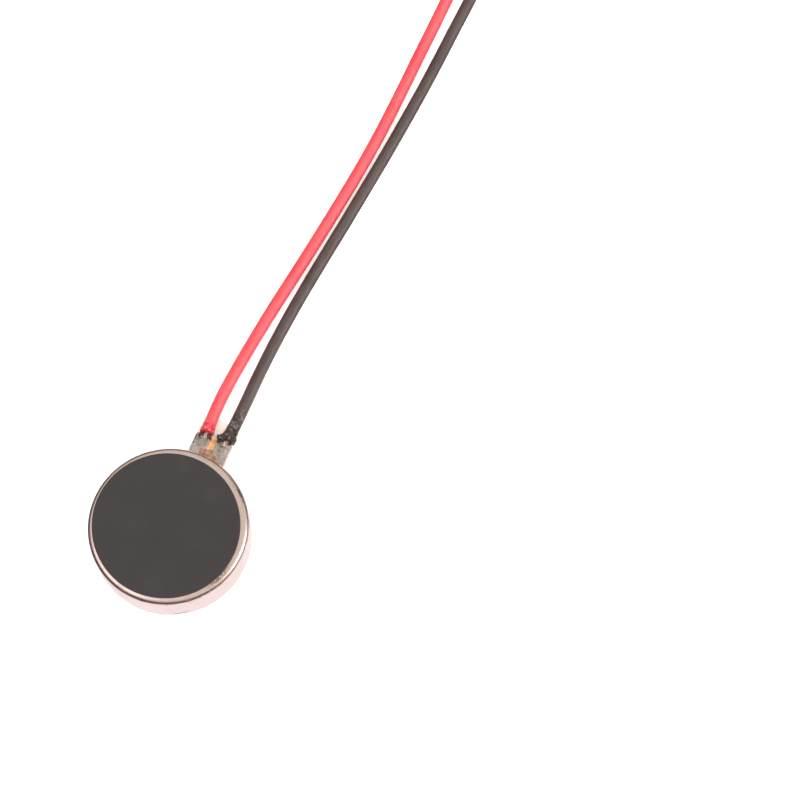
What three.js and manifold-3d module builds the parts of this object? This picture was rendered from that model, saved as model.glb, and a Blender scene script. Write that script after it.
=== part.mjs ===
// Vibration coin motor: a flat brushed motor, 10 mm across, whose off-centre rotor shakes the case.
// Millimetres, +Z up. The origin is on the shaft's axis, on the underside of the release liner.
// The soldering tab and the two leads point along +Y.

import * as THREE from "three";
import { mergeVertices } from "three/addons/utils/BufferGeometryUtils.js";
import Module from "manifold-3d";

// Driving dimensions

const CASE_RADIUS = 5.0;
const CASE_WALL = 0.25;
const CASE_CORNER = 0.35;
const CASE_INNER_CORNER = 0.2;
const TOTAL_HEIGHT = 3.4;

const LINER_THICKNESS = 0.08;
const ADHESIVE_THICKNESS = 0.12;
const BASE_THICKNESS = 0.2;
const FLEX_THICKNESS = 0.1;
const PAD_THICKNESS = 0.03;
const FACE_PAD_THICKNESS = 0.12;
const FACE_PAD_RADIUS = 4.6;
const FACE_PAD_SHIFT = -0.09;
const FACE_PAD_EASE = 0.03;
const STICKER_RADIUS = 4.5;

const BASE_GAP = 0.03;
const FLEX_RADIUS = 4.55;
const FLEX_SETBACK = 0.02;
const TAB_ROOT = 3;
const TAB_HALF_WIDTH = 1.22;
const TAB_REACH = 7.0;
const TAB_CORNER = 0.3;
const LINER_TAB_HALF_WIDTH = 1.87;
const LINER_TAB_REACH = 8.2;
const LINER_TAB_CORNER = 0.5;
const LINER_TAB_TURN = -4.5;

const LUG_ANGLES = [0, 60, 120, 180, 240, 300];
const LUG_HALF_WIDTH = 0.45;
const LUG_ROOT = 4.2;
const WELD_HALF = [0.16, 0.62, 0.07];
const WELD_INSET = 0.22;
const SLOT_HALF_WIDTH = 1.45;
const SLOT_HEIGHT = 0.46;
const NOTCH_GAP = 0.03;
const WALL_CUT = [4.4, 5.5];

const SHAFT_RADIUS = 0.4;
const PRESS_GAP = 0.005;
const RUNNING_GAP = 0.03;
const BEARING_RADIUS = 0.75;
const BEARING_EASE = 0.04;
const END_PLAY = 0.02;
const WASHER_RADIUS = 0.9;
const LOWER_WASHER_THICKNESS = 0.2;
const UPPER_WASHER_DROP = 0.15;

const MAGNET_OUTER = 4.2;
const MAGNET_INNER = 2.2;
const MAGNET_THICKNESS = 0.8;
const MAGNET_EASE = 0.08;

// Brush: its foot's two ends, then its bend as places along it and depths below the contact

const BRUSH_WIDTH = 0.45;
const BRUSH_LEAF = 0.07;
const BRUSH_LEAN = 0.05;
const BRUSH_OFFSET = 1.175;
const BRUSH_FOOT = [-1.0, -0.36];
const BRUSH_BEND = [
  [0.42, 0.16], [0.52, 0.07], [0.64, 0.2], [0.71, 0.17], [0.56, 0], [0.48, 0], [0.35, 0.1],
];

// Rotor

const ROTOR_RADIUS = 4.4;
const ROTOR_BOARD_THICKNESS = 0.2;
const ROTOR_HALF_ANGLE = 95;
const ROTOR_HUB_RADIUS = 1.95;
const ROTOR_LIFT = 1.1;
const BAR_COUNT = 6;
const BAR_GAP_ANGLE = 9;
const BAR_THICKNESS = 0.05;
const BAR_INNER = 0.95;
const BAR_OUTER = 1.75;
const COIL_ORBIT = 2.9;
const COIL_ANGLE = 52;
const COIL_OUTER = 1.25;
const COIL_INNER = 0.5;
const COIL_HEIGHT = 0.8;
const COIL_EASE = 0.12;
const WEIGHT_HALF_ANGLE = 22;
const WEIGHT_INNER = 1.6;
const WEIGHT_HEIGHT = 1.1;
const RESIN_HEIGHT = 0.9;
const RESIN_INSET = 0.05;
const RESIN_END_ANGLE = 1;
const RESIN_HUB_RADIUS = 1.35;
const POCKET_GAP_ANGLE = 0.3;
const FIT_GAP = 0.01;

const LEAD_RADIUS = 0.4;
const STRAND_RADIUS = 0.17;
const TIP_LENGTH = 3.0;

// Heights that follow from them

const ADHESIVE_Z = LINER_THICKNESS;
const BASE_Z = ADHESIVE_Z + ADHESIVE_THICKNESS;
const FLEX_Z = BASE_Z + BASE_THICKNESS;
const PAD_Z = FLEX_Z + FLEX_THICKNESS;
const SOLDER_Z = PAD_Z + PAD_THICKNESS;
const CASE_TOP = TOTAL_HEIGHT - FACE_PAD_THICKNESS;
const CEILING_Z = CASE_TOP - CASE_WALL;
const SHAFT_POCKET = 0.1;
const BOARD_Z = FLEX_Z + ROTOR_LIFT;
const COIL_Z = BOARD_Z + ROTOR_BOARD_THICKNESS;
const BRUSH_TOP = BOARD_Z - BAR_THICKNESS - FIT_GAP;
const STRAND_Z = SOLDER_Z + STRAND_RADIUS + FIT_GAP;

// Places on the soldering tab

const RED_X = -0.6;
const BLACK_X = 0.74;
const LEAD_START_Y = TAB_REACH + 0.03;
const STRAND_START_Y = 6.0;
const SOLDER_Y = 6.3;
const SOLDER_HALF = [0.33, 0.52, 0.36];
const RED_PAD_SIDES = [-1.17, -0.27];
const BLACK_PAD_SIDES = [0.19, 1.17];
const PAD_ENDS = [5.38, 6.93];
const PAD_CORNER = 0.12;

// Sealant in the slot: its back, its front as places and heights over the pads, and where it meets the wall

const SEALANT_WIDTH = 2.3;
const SEALANT_BACK = 4.5;
const SEALANT_FRONT = [[5.34, 0], [5.3, 0.05], [5.16, 0.11]];
const SEALANT_CREST = 5.02;

// Routes of the two leads: out over the tab's end, down to the surface, then along it.

const RED_ROUTE = [
  [-0.6, 7.03, 0.71], [-0.61, 7.5, 0.71], [-0.63, 8.2, 0.685], [-0.64, 9.2, 0.61], [-0.6, 10.2, 0.53],
  [-0.5, 11.5, 0.455], [-0.32, 13.2, 0.405], [-0.09, 15, 0.4], [0.2, 17, 0.4], [0.52, 19, 0.4],
  [0.83, 21, 0.4], [1.12, 23, 0.4], [1.4, 25, 0.4], [1.66, 27, 0.4], [1.88, 29, 0.4], [2.05, 31, 0.4],
  [2.18, 33, 0.4], [2.28, 35, 0.4], [2.37, 37, 0.4], [2.48, 39, 0.4], [2.57, 41, 0.4], [2.67, 43, 0.4],
  [2.76, 45, 0.4], [2.82, 47, 0.4], [2.83, 49, 0.4], [2.8, 51, 0.4], [2.77, 52.2, 0.4],
];

const BLACK_ROUTE = [
  [0.74, 7.03, 0.71], [0.84, 7.5, 0.71], [0.91, 8.2, 0.685], [0.93, 9.2, 0.61], [0.95, 10.2, 0.53],
  [0.97, 11.5, 0.455], [1.04, 13.2, 0.405], [1.17, 15, 0.4], [1.36, 17, 0.4], [1.6, 19, 0.4],
  [1.86, 21, 0.4], [2.14, 23, 0.4], [2.4, 25, 0.4], [2.66, 27, 0.4], [2.91, 29, 0.4], [3.14, 31, 0.4],
  [3.35, 33, 0.4], [3.54, 35, 0.4], [3.7, 37, 0.4], [3.84, 39, 0.4], [3.99, 41, 0.4], [4.14, 43, 0.4],
  [4.29, 45, 0.4], [4.38, 47, 0.4], [4.41, 49, 0.4], [4.4, 51, 0.4], [4.38, 51.9, 0.4],
];

// Smoothness

const ROUND = 64;
const SMALL_ROUND = 32;
const ARC_STEPS = 5;
const LEAD_SIDES = 8;
const LEAD_STEPS = 30;

const wasm = await Module();
wasm.setup();

const motor = new THREE.Group();
const rotor = new THREE.Group();
motor.add(rotor);

// Finishes

const finishes = {
  case_steel: { color: 0xcfc6be, roughness: 0.35, metalness: 1 },
  base_steel: { color: 0xb8b0a8, roughness: 0.45, metalness: 1 },
  shaft_steel: { color: 0xd5d5d8, roughness: 0.2, metalness: 1 },
  weld: { color: 0x8a5a3c, roughness: 0.6, metalness: 1 },
  magnet: { color: 0x6d6e72, roughness: 0.5, metalness: 1 },
  polyimide: { color: 0xb87a2c, roughness: 0.35, metalness: 0 },
  tin: { color: 0xb9b7b8, roughness: 0.4, metalness: 1 },
  solder: { color: 0xc4c3c5, roughness: 0.25, metalness: 1 },
  brush: { color: 0xc9a25a, roughness: 0.3, metalness: 1 },
  washer: { color: 0xe8e4d8, roughness: 0.5, metalness: 0 },
  sealant: { color: 0x7a4f2e, roughness: 0.3, metalness: 0 },
  red_jacket: { color: 0xf2505c, roughness: 0.5, metalness: 0 },
  black_jacket: { color: 0x4a4045, roughness: 0.5, metalness: 0 },
  adhesive: { color: 0xe9e2cf, roughness: 0.6, metalness: 0 },
  liner: { color: 0xf6f2ed, roughness: 0.6, metalness: 0 },
  face_pad: { color: 0x4b4748, roughness: 0.6, metalness: 0 },
  board: { color: 0x2f6b45, roughness: 0.5, metalness: 0 },
  copper: { color: 0xc77c4a, roughness: 0.35, metalness: 1 },
  coil: { color: 0xb5622e, roughness: 0.45, metalness: 1 },
  tungsten: { color: 0x77787c, roughness: 0.45, metalness: 1 },
  resin: { color: 0x2b2d31, roughness: 0.55, metalness: 0 },
  bronze: { color: 0xa98345, roughness: 0.5, metalness: 1 },
};

const materials = {};
for (const [name, values] of Object.entries(finishes)) {
  materials[name] = new THREE.MeshStandardMaterial({ name, ...values });
}

// Adds a geometry to a group as a named piece.
function piece(name, geometry, finish, group = motor) {
  const mesh = new THREE.Mesh(geometry, materials[finish]);
  mesh.name = name;
  group.add(mesh);
  return mesh;
}

// A body of revolution about Z from (radius, height) points that start and end on the axis,
// or that go once round a closed section.
function turned(points, onAxis = false, segments = ROUND) {
  let area = 0;
  points.forEach(([r, z], i) => {
    const [nextR, nextZ] = points[(i + 1) % points.length];
    area += r * nextZ - nextR * z;
  });
  const ordered = area > 0 ? points : [...points].reverse();
  const profile = ordered.map(([r, z]) => new THREE.Vector2(r, z));
  if (!onAxis) profile.push(profile[0].clone());
  return new THREE.LatheGeometry(profile, segments).rotateX(Math.PI / 2);
}

// A flat ring with straight walls.
function ring(inner, outer, low, high, segments = ROUND) {
  return turned([[inner, low], [outer, low], [outer, high], [inner, high]], false, segments);
}

// A ring whose four edges are rounded off by one small flat each.
function easedRing(inner, outer, low, high, ease, segments = ROUND) {
  return turned([
    [inner + ease, low], [outer - ease, low], [outer, low + ease], [outer, high - ease],
    [outer - ease, high], [inner + ease, high], [inner, high - ease], [inner, low + ease],
  ], false, segments);
}

// Points of an arc in a section, as (radius, height) pairs, angles in degrees.
function sectionArc(centreR, centreZ, radius, from, to, steps = ARC_STEPS) {
  return Array.from({ length: steps + 1 }, (_, i) => {
    const a = THREE.MathUtils.degToRad(from + (to - from) * i / steps);
    return [centreR + radius * Math.cos(a), centreZ + radius * Math.sin(a)];
  });
}

// Extrudes a flat outline upwards from a height.
function plate(outline, low, thickness, curveSegments = 12) {
  const options = { depth: thickness, bevelEnabled: false, curveSegments };
  return new THREE.ExtrudeGeometry(outline, options).translate(0, 0, low);
}

function circleHole(radius) {
  const hole = new THREE.Path();
  hole.absarc(0, 0, radius, 0, Math.PI * 2, true);
  return hole;
}

// Part of a flat ring between two angles in degrees.
function ringSector(inner, outer, from, to) {
  const a = THREE.MathUtils.degToRad(from);
  const b = THREE.MathUtils.degToRad(to);
  const outline = new THREE.Shape();
  outline.absarc(0, 0, outer, a, b, false);
  outline.absarc(0, 0, inner, b, a, true);
  outline.closePath();
  return outline;
}

// A round-cornered rectangle.
function roundRectangle(left, right, low, high, corner) {
  const outline = new THREE.Shape();
  outline.moveTo(left + corner, low);
  outline.lineTo(right - corner, low);
  outline.absarc(right - corner, low + corner, corner, -Math.PI / 2, 0, false);
  outline.lineTo(right, high - corner);
  outline.absarc(right - corner, high - corner, corner, 0, Math.PI / 2, false);
  outline.lineTo(left + corner, high);
  outline.absarc(left + corner, high - corner, corner, Math.PI / 2, Math.PI, false);
  outline.lineTo(left, low + corner);
  outline.absarc(left + corner, low + corner, corner, Math.PI, Math.PI * 1.5, false);
  return outline;
}

// Turns a closed geometry into a solid for joining and cutting.
function toSolid(geometry) {
  const bare = geometry.clone();
  bare.deleteAttribute("normal");
  bare.deleteAttribute("uv");
  const merged = mergeVertices(bare, 1e-4);
  const index = merged.index.array;
  const triangles = [];
  for (let i = 0; i < index.length; i += 3) {
    const [a, b, c] = [index[i], index[i + 1], index[i + 2]];
    if (a !== b && b !== c && c !== a) triangles.push(a, b, c);
  }
  return new wasm.Manifold(new wasm.Mesh({
    numProp: 3,
    vertProperties: new Float32Array(merged.attributes.position.array),
    triVerts: new Uint32Array(triangles),
  }));
}

// Turns a solid back into a geometry.
function toGeometry(solid) {
  const mesh = solid.getMesh();
  const geometry = new THREE.BufferGeometry();
  geometry.setAttribute("position", new THREE.BufferAttribute(mesh.vertProperties, 3));
  geometry.setIndex(new THREE.BufferAttribute(mesh.triVerts, 1));
  geometry.computeVertexNormals();
  return geometry;
}

function join(first, ...others) {
  return toGeometry(others.reduce((whole, other) => whole.add(toSolid(other)), toSolid(first)));
}

function cut(first, ...tools) {
  return toGeometry(tools.reduce((rest, tool) => rest.subtract(toSolid(tool)), toSolid(first)));
}

// A block given by its two opposite corners.
function block(low, high) {
  const size = high.map((value, i) => value - low[i]);
  const centre = high.map((value, i) => (value + low[i]) / 2);
  return new THREE.BoxGeometry(...size).translate(...centre);
}

function turnedAbout(geometry, degrees) {
  return geometry.rotateZ(THREE.MathUtils.degToRad(degrees));
}

// Case: a drawn steel cup, open below, with a slot for the tab and notches for the base's lugs.
function caseCup() {
  const inner = CASE_RADIUS - CASE_WALL;
  const pocketTop = CEILING_Z + SHAFT_POCKET;
  const pocketRadius = SHAFT_RADIUS + FIT_GAP;
  const cup = turned([
    [0, CASE_TOP],
    ...sectionArc(CASE_RADIUS - CASE_CORNER, CASE_TOP - CASE_CORNER, CASE_CORNER, 90, 0),
    [CASE_RADIUS, BASE_Z],
    [inner, BASE_Z],
    ...sectionArc(inner - CASE_INNER_CORNER, CEILING_Z - CASE_INNER_CORNER, CASE_INNER_CORNER, 0, 90, 3),
    [pocketRadius, CEILING_Z],
    [pocketRadius, pocketTop],
    [0, pocketTop],
  ], true);
  const [from, to] = WALL_CUT;
  const slot = block([-SLOT_HALF_WIDTH, from, ADHESIVE_Z], [SLOT_HALF_WIDTH, to, BASE_Z + SLOT_HEIGHT]);
  const notches = LUG_ANGLES.map((angle) => {
    const half = LUG_HALF_WIDTH + NOTCH_GAP;
    return turnedAbout(block([from, -half, ADHESIVE_Z], [to, half, FLEX_Z + NOTCH_GAP]), angle);
  });
  return cut(cup, slot, ...notches);
}

// Base: a steel disc pressed into the case's mouth, with six lugs and the soldering tab.
function basePlate() {
  const hole = SHAFT_RADIUS + PRESS_GAP;
  const disc = ring(hole, CASE_RADIUS - CASE_WALL - BASE_GAP, BASE_Z, FLEX_Z);
  const outline = roundRectangle(-TAB_HALF_WIDTH, TAB_HALF_WIDTH, TAB_ROOT, TAB_REACH, TAB_CORNER);
  const tab = plate(outline, BASE_Z, BASE_THICKNESS, 3);
  const lugs = LUG_ANGLES.map((angle) => {
    const tip = CASE_RADIUS - BASE_GAP;
    const lug = block([LUG_ROOT, -LUG_HALF_WIDTH, BASE_Z], [tip, LUG_HALF_WIDTH, FLEX_Z]);
    return turnedAbout(lug, angle);
  });
  return join(disc, tab, ...lugs);
}

// Flexible circuit: a polyimide disc on the base with a tail along the tab.
function flexCircuit() {
  const half = TAB_HALF_WIDTH - FLEX_SETBACK;
  const reach = TAB_REACH - FLEX_SETBACK;
  const disc = ring(WASHER_RADIUS + 0.1, FLEX_RADIUS, FLEX_Z, PAD_Z);
  const outline = roundRectangle(-half, half, TAB_ROOT, reach, TAB_CORNER - FLEX_SETBACK);
  const tail = plate(outline, FLEX_Z, FLEX_THICKNESS, 3);
  return join(disc, tail);
}

// Brush: a leaf spring that stands on the flexible circuit and leans up to the commutator.
function brush() {
  const rise = BRUSH_TOP - PAD_Z;
  const [heel, toe] = BRUSH_FOOT;
  const outline = new THREE.Shape([
    [heel, 0],
    [toe, 0],
    ...BRUSH_BEND.map(([place, below]) => [place, rise - below]),
    [toe - BRUSH_LEAN, BRUSH_LEAF],
    [heel, BRUSH_LEAF],
  ].map((point) => new THREE.Vector2(...point)));
  const strip = new THREE.ExtrudeGeometry(outline, { depth: BRUSH_WIDTH, bevelEnabled: false });
  return strip.rotateX(Math.PI / 2).translate(0, -BRUSH_OFFSET, PAD_Z);
}

// Solder joint: a low dome on its pad, around the bared strands.
function solderJoint(x, y, strands) {
  const dome = new THREE.SphereGeometry(1, SMALL_ROUND / 2, 10).rotateX(Math.PI / 2);
  dome.scale(...SOLDER_HALF).translate(x, y, SOLDER_Z);
  const below = block([x - 1, y - 1, SOLDER_Z - 1], [x + 1, y + 1, SOLDER_Z]);
  return cut(dome, below, strands);
}

// A round rod between two points.
function rod(start, end, radius, sides = 12) {
  const path = new THREE.LineCurve3(new THREE.Vector3(...start), new THREE.Vector3(...end));
  return tube(path, radius, sides, 1);
}

// A solid tube along a path.
function tube(path, radius, sides, steps) {
  const section = new THREE.Shape(Array.from({ length: sides }, (_, i) => {
    const a = (i + 0.5) / sides * Math.PI * 2;
    return new THREE.Vector2(radius * Math.cos(a), radius * Math.sin(a));
  }));
  return new THREE.ExtrudeGeometry(section, { extrudePath: path, steps, bevelEnabled: false });
}

// One lead: its jacket, the strands soldered to the pad, the joint, and the tinned far tip.
function addLead(colour, x, route) {
  const points = route.map((point) => new THREE.Vector3(...point));
  const path = new THREE.CatmullRomCurve3(points, false, "centripetal");
  piece(`${colour}_lead`, tube(path, LEAD_RADIUS, LEAD_SIDES, LEAD_STEPS), `${colour}_jacket`);

  const strands = rod([x, STRAND_START_Y, STRAND_Z], [x, LEAD_START_Y - FIT_GAP, STRAND_Z], STRAND_RADIUS);
  piece(`${colour}_strands`, strands, "tin");
  piece(`${colour}_solder_joint`, solderJoint(x, SOLDER_Y, strands), "solder");

  const end = points[points.length - 1];
  const along = path.getTangentAt(1);
  const tipStart = end.clone().addScaledVector(along, FIT_GAP);
  const tipEnd = end.clone().addScaledVector(along, TIP_LENGTH);
  piece(`${colour}_lead_tip`, rod(tipStart.toArray(), tipEnd.toArray(), STRAND_RADIUS), "tin");
}

// Stator and case

piece("case_cup", caseCup(), "case_steel");
piece("base_plate", basePlate(), "base_steel");
piece("flex_circuit", flexCircuit(), "polyimide");

for (const [i, angle] of LUG_ANGLES.entries()) {
  const bead = new THREE.SphereGeometry(1, 16, 8).rotateX(Math.PI / 2);
  bead.scale(...WELD_HALF).translate(CASE_RADIUS - WELD_INSET, 0, BASE_Z);
  const above = block([4, -1, BASE_Z], [6, 1, BASE_Z + 1]);
  piece(`rim_weld_${i + 1}`, turnedAbout(cut(bead, above), angle), "weld");
}

const magnetTop = PAD_Z + MAGNET_THICKNESS;
piece("ring_magnet", easedRing(MAGNET_INNER, MAGNET_OUTER, PAD_Z, magnetTop, MAGNET_EASE), "magnet");

const shaftTop = CEILING_Z + SHAFT_POCKET - FIT_GAP;
const shaftEase = 0.06;
piece("shaft", turned([
  [0, BASE_Z], [SHAFT_RADIUS, BASE_Z], [SHAFT_RADIUS, shaftTop - shaftEase],
  [SHAFT_RADIUS - shaftEase, shaftTop], [0, shaftTop],
], true, SMALL_ROUND), "shaft_steel");

const washerInner = SHAFT_RADIUS + RUNNING_GAP;
const lowerWasherTop = FLEX_Z + LOWER_WASHER_THICKNESS;
const upperWasherLow = CEILING_Z - UPPER_WASHER_DROP;
const lowerWasher = ring(washerInner, WASHER_RADIUS, FLEX_Z, lowerWasherTop, SMALL_ROUND);
const upperWasher = ring(washerInner, WASHER_RADIUS, upperWasherLow, CEILING_Z - END_PLAY, SMALL_ROUND);
piece("thrust_washer_lower", lowerWasher, "washer");
piece("thrust_washer_upper", upperWasher, "washer");

piece("brush_positive", turnedAbout(brush(), -45), "brush");
piece("brush_negative", turnedAbout(brush(), 45), "brush");

// Soldering tab: two tinned pads, the dab that seals the case's slot, and the leads

const redPad = roundRectangle(...RED_PAD_SIDES, ...PAD_ENDS, PAD_CORNER);
const blackPad = roundRectangle(...BLACK_PAD_SIDES, ...PAD_ENDS, PAD_CORNER);
piece("pad_red", plate(redPad, PAD_Z, PAD_THICKNESS, 2), "tin");
piece("pad_black", plate(blackPad, PAD_Z, PAD_THICKNESS, 2), "tin");

const sealantTop = BASE_Z + SLOT_HEIGHT - FIT_GAP;
const sealantSection = new THREE.Shape([
  [SEALANT_BACK, PAD_Z],
  ...SEALANT_FRONT.map(([place, height]) => [place, PAD_Z + height]),
  [SEALANT_CREST, sealantTop],
  [SEALANT_BACK, sealantTop],
].map((point) => new THREE.Vector2(...point)));
const sealant = new THREE.ExtrudeGeometry(sealantSection, { depth: SEALANT_WIDTH, bevelEnabled: false });
sealant.rotateX(Math.PI / 2).rotateZ(Math.PI / 2).translate(-SEALANT_WIDTH / 2, 0, 0);
piece("slot_sealant", sealant, "sealant");

addLead("red", RED_X, RED_ROUTE);
addLead("black", BLACK_X, BLACK_ROUTE);

// Self-adhesive parts

piece("adhesive_disc", turned([
  [0, ADHESIVE_Z], [STICKER_RADIUS, ADHESIVE_Z], [STICKER_RADIUS, BASE_Z], [0, BASE_Z],
], true), "adhesive");

const linerDisc = turned([
  [0, 0], [STICKER_RADIUS, 0], [STICKER_RADIUS, LINER_THICKNESS], [0, LINER_THICKNESS],
], true);
const linerTabOutline = roundRectangle(
  -LINER_TAB_HALF_WIDTH, LINER_TAB_HALF_WIDTH, TAB_ROOT, LINER_TAB_REACH, LINER_TAB_CORNER);
const linerTab = plate(linerTabOutline, 0, LINER_THICKNESS, 4);
piece("release_liner", join(linerDisc, turnedAbout(linerTab, LINER_TAB_TURN)), "liner");

const facePad = turned([
  [0, CASE_TOP], [FACE_PAD_RADIUS, CASE_TOP], [FACE_PAD_RADIUS, TOTAL_HEIGHT - FACE_PAD_EASE],
  [FACE_PAD_RADIUS - FACE_PAD_EASE, TOTAL_HEIGHT], [0, TOTAL_HEIGHT],
], true);
piece("face_pad", facePad.translate(FACE_PAD_SHIFT, FACE_PAD_SHIFT, 0), "face_pad");

// Rotor: its heavy half points along -Y at rest

const HEAVY_SIDE = -90;
const boardHole = BEARING_RADIUS + PRESS_GAP;

const rotorFrom = HEAVY_SIDE - ROTOR_HALF_ANGLE;
const rotorTo = HEAVY_SIDE + ROTOR_HALF_ANGLE;
const boardOutline = ringSector(1, ROTOR_RADIUS, rotorFrom, rotorTo);
const boardSector = plate(boardOutline, BOARD_Z, ROTOR_BOARD_THICKNESS, 16);
const boardHub = ring(boardHole, ROTOR_HUB_RADIUS, BOARD_Z, COIL_Z);
piece("rotor_board", join(boardHub, boardSector), "board", rotor);

const barPitch = 360 / BAR_COUNT;
for (let i = 0; i < BAR_COUNT; i++) {
  const from = i * barPitch + BAR_GAP_ANGLE / 2;
  const bar = ringSector(BAR_INNER, BAR_OUTER, from, from + barPitch - BAR_GAP_ANGLE);
  piece(`commutator_bar_${i + 1}`, plate(bar, BOARD_Z - BAR_THICKNESS, BAR_THICKNESS, 4), "copper", rotor);
}

function coilPlace(side) {
  const a = THREE.MathUtils.degToRad(HEAVY_SIDE + side * COIL_ANGLE);
  return [COIL_ORBIT * Math.cos(a), COIL_ORBIT * Math.sin(a)];
}

const coilTop = COIL_Z + COIL_HEIGHT;
const resinTop = COIL_Z + RESIN_HEIGHT;
const coilPockets = [];
for (const [i, side] of [-1, 1].entries()) {
  const [x, y] = coilPlace(side);
  const coil = easedRing(COIL_INNER, COIL_OUTER, COIL_Z, coilTop, COIL_EASE, SMALL_ROUND);
  piece(`coil_${i + 1}`, coil.translate(x, y, 0), "coil", rotor);
  const pocket = new THREE.CylinderGeometry(COIL_OUTER + FIT_GAP, COIL_OUTER + FIT_GAP, 2, SMALL_ROUND);
  coilPockets.push(pocket.rotateX(Math.PI / 2).translate(x, y, COIL_Z + 0.5));
}

const weightFrom = HEAVY_SIDE - WEIGHT_HALF_ANGLE;
const weightTo = HEAVY_SIDE + WEIGHT_HALF_ANGLE;
const weightOutline = ringSector(WEIGHT_INNER, ROTOR_RADIUS, weightFrom, weightTo);
piece("counterweight", plate(weightOutline, COIL_Z, WEIGHT_HEIGHT, 5), "tungsten", rotor);

const resinOutline = ringSector(
  boardHole, ROTOR_RADIUS - RESIN_INSET, rotorFrom + RESIN_END_ANGLE, rotorTo - RESIN_END_ANGLE);
const resinSector = plate(resinOutline, COIL_Z, RESIN_HEIGHT, 16);
const pocketOutline = ringSector(
  WEIGHT_INNER - FIT_GAP, ROTOR_RADIUS + 0.2, weightFrom - POCKET_GAP_ANGLE, weightTo + POCKET_GAP_ANGLE);
const weightPocket = plate(pocketOutline, COIL_Z - 0.5, 3, 5);
const resinHub = ring(boardHole, RESIN_HUB_RADIUS, COIL_Z, resinTop);
piece("rotor_resin", cut(join(resinHub, resinSector), ...coilPockets, weightPocket), "resin", rotor);

const bearingLow = lowerWasherTop + END_PLAY;
const bearingTop = upperWasherLow - END_PLAY;
const bearing = easedRing(
  SHAFT_RADIUS + RUNNING_GAP, BEARING_RADIUS, bearingLow, bearingTop, BEARING_EASE, ROUND);
piece("rotor_bearing", bearing, "bronze", rotor);

export default motor;
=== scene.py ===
"""Looks of a 10 mm vibration coin motor: a satin steel case with a dark film on its face, a soldering tab
with a red and a black lead, and a white liner over the adhesive on its back. It lies on a pale table."""

import math

import bmesh
import bpy
from mathutils import Matrix, Vector, noise


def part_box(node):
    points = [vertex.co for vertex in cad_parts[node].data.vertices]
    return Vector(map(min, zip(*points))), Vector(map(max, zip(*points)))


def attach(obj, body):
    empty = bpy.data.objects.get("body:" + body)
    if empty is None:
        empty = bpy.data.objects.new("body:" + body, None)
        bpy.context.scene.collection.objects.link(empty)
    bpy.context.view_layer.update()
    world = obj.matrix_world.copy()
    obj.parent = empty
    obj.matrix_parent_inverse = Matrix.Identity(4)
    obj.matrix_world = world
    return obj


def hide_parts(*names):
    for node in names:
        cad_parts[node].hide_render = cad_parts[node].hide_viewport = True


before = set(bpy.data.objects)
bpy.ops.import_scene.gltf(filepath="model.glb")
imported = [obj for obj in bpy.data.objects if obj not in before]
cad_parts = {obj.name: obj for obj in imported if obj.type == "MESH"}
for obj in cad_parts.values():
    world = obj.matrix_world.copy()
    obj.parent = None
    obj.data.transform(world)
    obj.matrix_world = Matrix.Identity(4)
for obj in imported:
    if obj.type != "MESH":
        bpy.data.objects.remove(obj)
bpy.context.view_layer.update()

# Pieces are modelled in millimetres and made metres when they are finished.

MM = 0.001


def box_mm(node):
    """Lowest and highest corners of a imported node, in millimetres."""
    low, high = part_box(node)
    return low / MM, high / MM


CASE_LOW, CASE_HIGH = box_mm("case_cup")
CASE_RADIUS = CASE_HIGH.x
CASE_FOOT = CASE_LOW.z
CASE_TOP = CASE_HIGH.z
CASE_WALL = 0.25
CASE_CORNER = 0.35
SLOT_TOP = 0.66
SLOT_HALF_ANGLE = 17
NOTCH_TOP = 0.53
NOTCH_HALF_ANGLE = 5.5
FILM_LOW, FILM_HIGH = box_mm("face_pad")
BASE_LOW, BASE_HIGH = box_mm("base_plate")
BASE_GAP = 0.03
BASE_HOLE = 0.405
BASE_EDGE = 0.025
LUG_ANGLES = (0, 60, 120, 180, 240, 300)
LUG_HALF_ANGLE = 5
FLEX_LOW, FLEX_HIGH = box_mm("flex_circuit")
FLEX_RADIUS = 4.55
FLEX_HOLE = 1.0
FLEX_SETBACK = 0.02
PAD_Z = FLEX_HIGH.z
TAB_HALF = 1.22
TAB_CORNER = 0.3
TAB_SIDE_ANGLE = 15
LINER_RADIUS = 4.5
LINER_THICKNESS = 0.08
LINER_TAB_HALF = 1.87
LINER_TAB_REACH = 8.2
LINER_TAB_CORNER = 0.5
LINER_TAB_TURN = -4.5
COIL_HOLE = 0.5
COIL_WIRE = 0.045

LEAD_RADIUS = 0.4
TIP_LENGTH = 2.95
TIP_HIDDEN = 0.3

# The leads' routes, in metres: out over the tab's end, down to the table, then along it.

RED_ROUTE = [
    (-0.0006, 0.00703, 0.00071), (-0.00061, 0.0075, 0.00071), (-0.00063, 0.0082, 0.000685),
    (-0.00064, 0.0092, 0.00061), (-0.0006, 0.0102, 0.00053), (-0.0005, 0.0115, 0.000455),
    (-0.00032, 0.0132, 0.000405), (-0.00009, 0.015, 0.0004), (0.0002, 0.017, 0.0004),
    (0.00052, 0.019, 0.0004), (0.00083, 0.021, 0.0004), (0.00112, 0.023, 0.0004),
    (0.0014, 0.025, 0.0004), (0.00166, 0.027, 0.0004), (0.00188, 0.029, 0.0004),
    (0.00205, 0.031, 0.0004), (0.00218, 0.033, 0.0004), (0.00228, 0.035, 0.0004),
    (0.00237, 0.037, 0.0004), (0.00248, 0.039, 0.0004), (0.00257, 0.041, 0.0004),
    (0.00267, 0.043, 0.0004), (0.00276, 0.045, 0.0004), (0.00282, 0.047, 0.0004),
    (0.00283, 0.049, 0.0004), (0.0028, 0.051, 0.0004), (0.00277, 0.0522, 0.0004),
]
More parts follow.
